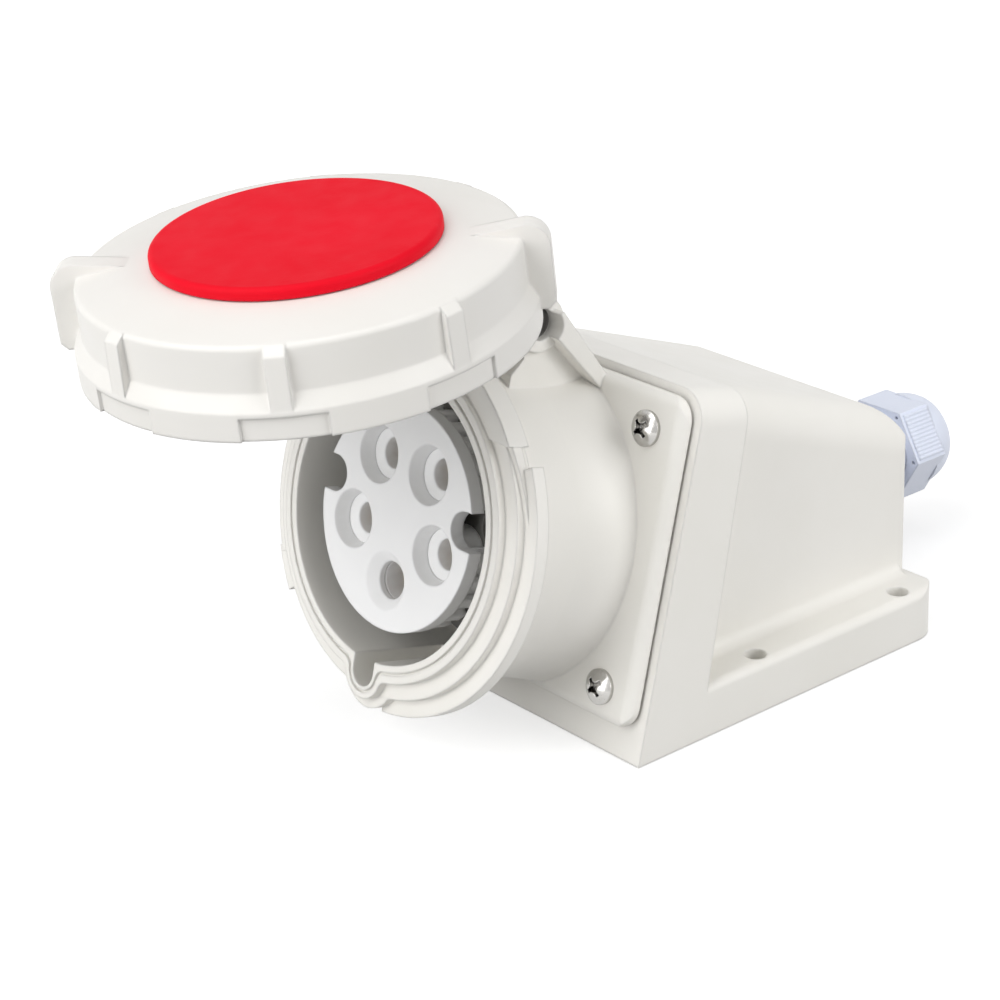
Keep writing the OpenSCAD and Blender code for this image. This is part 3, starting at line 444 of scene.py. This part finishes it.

# %% [markdown]
# The screws are bright nickel plated steel, the hinge pin is steel painted near
# black as the shade of the recess in its barrel, and the contact tubes are brass.
# All are metals all over, so Metallic is a plain number on the shader, while
# scratches and clouds of tarnish change the colour and the gloss, and painted shade darkens pits.

# %% Plated steel, steel painted dark as shade, and brass
TARNISH_CLOUDS, SCRATCH_CELLS = 160.0, 3000.0  # to the metre
# The near black on the next line is painted shade for narrow pits.
PIT_REACH, PIT_SHADE = 1.5 * MM, (0.02, 0.018, 0.016, 1)
SCRATCH_DULLS, SCRATCH_STRENGTH, SCRATCH_DEPTH = 0.15, 0.6, 0.002 * MM


def metal_finish(name, colour, tarnish, gloss, edge):
    """Metal that drifts to tarnish in clouds and to a painted shade of near black in pits,
    roughened by hair scratches.
    """
    finish, tree = new_finish(name)
    skin = place_group(tree, moulded_skin, Cloud=TARNISH_CLOUDS)
    marks = place_group(tree, hair_scratches, Scale=SCRATCH_CELLS)
    edges = place_group(tree, rounded_edges, Radius=edge * MM)
    pits = place_group(tree, painted_pit_shade, Reach=PIT_REACH)
    clouded = blend_colour(tree, skin["Tint"], colour, tarnish)
    rubbed = blend_colour(tree, edges["Edge"], clouded, colour)
    polish = spread(tree, skin["Gloss"], 0, 1, *gloss)
    bump = add(tree, "ShaderNodeBump", Height=marks["Scratch"], Normal=edges["Normal"],
               Strength=SCRATCH_STRENGTH, Distance=SCRATCH_DEPTH)
    # Painted shade: the colour runs to near black where a pit shuts out its surroundings.
    shade(tree, Base_Color=blend_colour(tree, pits["Pit"], rubbed, PIT_SHADE), Metallic=1.0,
          Roughness=work_out(tree, "MULTIPLY_ADD", marks["Scratch"], SCRATCH_DULLS, polish),
          Normal=bump.outputs[0])
    return finish


plated_steel = metal_finish(
    "plated_steel", (0.56, 0.55, 0.53, 1), (0.44, 0.43, 0.41, 1), gloss=(0.14, 0.24), edge=0.45)
# Painted shade: the hinge pin is near black for the shade of the recess in its barrel.
pin_steel_painted_shade = metal_finish(
    "pin_steel_painted_shade", (0.2, 0.2, 0.2, 1), (0.11, 0.11, 0.11, 1), gloss=(0.12, 0.22), edge=0.3)
contact_brass = metal_finish(
    "contact_brass", (0.76, 0.57, 0.28, 1), (0.58, 0.41, 0.19, 1), gloss=(0.22, 0.36), edge=0.15)
print("made three metal finishes")

# %% [markdown]
# Each solid now takes its finish. The solid keeps its mesh; only the material
# slot changes.

# %% Dress the solids
dress = {
    box_plastic: ["back_box", "socket_shell"],
    lid_plastic: ["inner_lid", "bayonet_ring"],
    insert_plastic: ["insert_face", "pin_guide"],
    carrier_plastic: ["contact_carrier", "terminal_block"],
    gland_plastic: ["gland_body", "gland_nut"],
    disc_plastic: ["lid_disc"],
    seal_rubber: ["plate_gasket", "lid_seal", "gland_washer", "gland_bush"],
    contact_brass: ["contact_l1", "contact_l2", "contact_l3", "contact_n", "contact_earth"],
    plated_steel: ["terminal_screws", "carrier_screws", "plate_screws", "disc_screws"],
    pin_steel_painted_shade: ["hinge_pin"],
}
for finish, names in dress.items():
    for name in names:
        solids[name].data.materials.clear()
        solids[name].data.materials.append(finish)
print("dressed", sum(len(names) for names in dress.values()), "of", len(solids), "solids")

# %% [markdown]
# ## Mesh helpers
# The new pieces are surfaces worked out as whole arrays. A grid of points is
# joined into quads by index arithmetic. A raised patch is a closed slab: its
# top is the visible relief, its bottom lies inside the solid that carries it,
# and the rims of the two are stitched together.

# %% Mesh helpers
def grid_quads(rows, columns, wrap):
    """Corner numbers of each cell of a grid; with wrap, its last row and column meet its first."""
    row = np.arange(rows if wrap else rows - 1)[:, None]
    column = np.arange(columns if wrap else columns - 1)[None, :]
    after, beside = (row + 1) % rows, (column + 1) % columns
    corners = [(row, column), (row, beside), (after, beside), (after, column)]
    return np.stack([r * columns + c for r, c in corners], -1).reshape(-1, 4)


def slab(upper, lower):
    """A closed shell between two grids of one size: both grids, and quads round their rims."""
    rows, columns = upper.shape[:2]
    number = np.arange(rows * columns).reshape(rows, columns)
    rim = np.concatenate([number[0, :-1], number[:-1, -1], number[-1, :0:-1], number[:0:-1, 0]])
    after, below = np.roll(rim, -1), rows * columns
    faces = grid_quads(rows, columns, False)
    band = np.stack([after, rim, rim + below, after + below], -1)
    points = np.concatenate([upper.reshape(-1, 3), lower.reshape(-1, 3)])
    return points, np.concatenate([faces, faces[:, ::-1] + below, band])


def join(parts):
    """Several (points, quads) pairs as one pair."""
    starts = np.cumsum([0] + [len(points) for points, _ in parts[:-1]])
    quads = [own + start for (_, own), start in zip(parts, starts)]
    return np.concatenate([points for points, _ in parts]), np.concatenate(quads)


def new_piece(name, points, quads, body, slot, finish):
    """A smooth mesh piece from points in mm, its faces turned outwards by its signed volume."""
    points = points * MM
    first, second, third, fourth = (points[quads[:, k]] for k in range(4))
    volume = np.sum(first * (np.cross(second, third) + np.cross(third, fourth))) / 6
    if volume < 0:
        quads = quads[:, ::-1]
    mesh = bpy.data.meshes.new(name)
    mesh.from_pydata(points, [], quads.tolist())
    mesh.polygons.foreach_set("use_smooth", np.ones(len(quads), bool))
    mesh.materials.append(finish)
    piece = bpy.data.objects.new(name, mesh)
    bpy.context.scene.collection.objects.link(piece)
    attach(piece, body)
    print(name, len(quads), "quads,", round(abs(volume) / MM ** 3, 1), "mm3")


print("mesh helpers ready")

# %% [markdown]
# ## Grip ribs on the gland's cap nut
# Every second flat of the real nut carries a panel of fine ribs for wet
# fingers. They are one wave of cosine bars across the flat, lowered so that the
# valleys sink into the nut and faded out at both ends.

# %% Grip ribs
nut_low, nut_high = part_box("gland_nut")
nut_x, nut_z = 0.0, (nut_low.z + nut_high.z) / 2 / MM
nut_y = nut_low.y / MM
flat_out = (nut_high.z - nut_low.z) / 2 / MM
RIBBED_FLATS = (30, 150, 270)  # degrees round the nut
RIB_STEPS, RIB_ROWS = 8, 15
RIB_FADE, RIB_SINK, PANEL_DEPTH = 0.6, 0.04, 0.6  # mm


def grip_panel(angle, width=12.2, ribs=12, start=0.9, end=9.8, height=0.3):
    """Height times (half minus half the cosine of a turn per rib), eased to 0 at both ends of v."""
    pitch = width / ribs
    u, v = np.meshgrid(np.linspace(-width / 2, width / 2, ribs * RIB_STEPS + 1),
                       np.linspace(start, end, RIB_ROWS), indexing="ij")
    wave = 0.5 - 0.5 * np.cos(2 * np.pi * (u + width / 2) / pitch)
    fade = np.clip(np.minimum(v - start, end - v) / RIB_FADE, 0, 1)
    lift = flat_out + height * wave * fade * fade * (3 - 2 * fade) - RIB_SINK
    out = np.array([math.cos(angle), 0, math.sin(angle)])
    across = np.array([-math.sin(angle), 0, math.cos(angle)])
    base = np.array([nut_x, nut_y, nut_z]) + u[..., None] * across + v[..., None] * [0, 1, 0]
    return slab(base + lift[..., None] * out, base + (flat_out - PANEL_DEPTH) * out)


panels = [grip_panel(math.radians(a)) for a in RIBBED_FLATS]
new_piece("gland_grip_ribs", *join(panels), "housing", "gland_grey", gland_plastic)

# %% [markdown]
# ## Thread on the gland's body
# Between the gland's hexagon and its cap nut a short length of thread shows
# from behind. It is a tube whose radius is a triangle wave of height along the
# axis minus turn, so the crest climbs one pitch in each turn and the seam of
# the tube closes by itself.

# %% Gland thread
THREAD_ROWS, THREAD_STEPS = 91, 96
THREAD_FADE, THREAD_SINK, THREAD_WALL = 0.5, 0.3, 1.0  # mm
CREST_GAIN = 1.6  # over 1, so that the crests are flat


def thread_sleeve(start, end, core, depth, pitch):
    """Core plus depth times a clipped triangle wave of along / pitch - turn, sunk at both ends."""
    along, turn = np.meshgrid(np.linspace(start, end, THREAD_ROWS),
                              np.linspace(0, 1, THREAD_STEPS, endpoint=False), indexing="ij")
    phase = (along / pitch - turn) % 1.0
    crest = np.clip(CREST_GAIN * (1 - 2 * np.abs(phase - 0.5)), 0, 1)
    fade = np.clip(np.minimum(along - start, end - along) / THREAD_FADE, 0, 1)
    outer = core - THREAD_SINK + fade * (THREAD_SINK + depth * crest)
    radius = np.concatenate([outer, np.full_like(outer, core - THREAD_WALL)])
    along, turn = np.concatenate([along, along[::-1]]), np.concatenate([turn, turn])
    shell = np.stack([nut_x + radius * np.cos(2 * np.pi * turn), along,
                      nut_z + radius * np.sin(2 * np.pi * turn)], -1)
    return shell.reshape(-1, 3), grid_quads(2 * THREAD_ROWS, THREAD_STEPS, True)


thread = thread_sleeve(start=55.4, end=63.7, core=9.6, depth=0.35, pitch=1.5)
new_piece("gland_thread", *thread, "housing", "gland_grey", gland_plastic)

# %% [markdown]
# ## Splines behind the insert's face
# In the dark gap between the contact insert and the sleeve, the photograph
# shows a row of small blocks under the edge of the face. They are short ribs
# round the insert's core, left out where the two fixing screws pass. Working
# in the sleeve's own axes keeps the sums plain; one turn by the sleeve's tilt
# then carries them to the frame.

# %% Insert splines
tilt, front, axis_height = math.radians(14.6), -64.0, 44.7
SPLINE_COLUMNS, SPLINE_ROWS = 4, 6
FIRST_SPLINE, SPLINE_PITCH = 2, 13  # degrees
SCREW_ANGLES, SCREW_ROOM = (9, 171, 369), 15  # degrees, the first screw counted again a turn on


def on_sleeve(across, up, out):
    """Points across, up and out along the sleeve's axis, tilted with it and moved to the frame."""
    height = axis_height + up
    return np.stack([across, front + height * math.sin(tilt) - out * math.cos(tilt),
                     height * math.cos(tilt) + out * math.sin(tilt)], -1)


def spline(angle, inner=22.9, outer=25.0, width=2.9, low=30.4, high=35.7):
    """A bar along the axis: a grid of width by length at the outer radius over one at the inner."""
    u, v = np.meshgrid(np.linspace(-width / 2, width / 2, SPLINE_COLUMNS),
                       np.linspace(low, high, SPLINE_ROWS), indexing="ij")
    cos, sin = math.cos(angle), math.sin(angle)
    return slab(*(on_sleeve(r * cos - u * sin, r * sin + u * cos, v) for r in (outer, inner)))


splines = [spline(math.radians(a)) for a in range(FIRST_SPLINE, 360, SPLINE_PITCH)
           if min(abs(a - screw) for screw in SCREW_ANGLES) > SCREW_ROOM]
new_piece("insert_splines", *join(splines), "housing", "insert_white", insert_plastic)
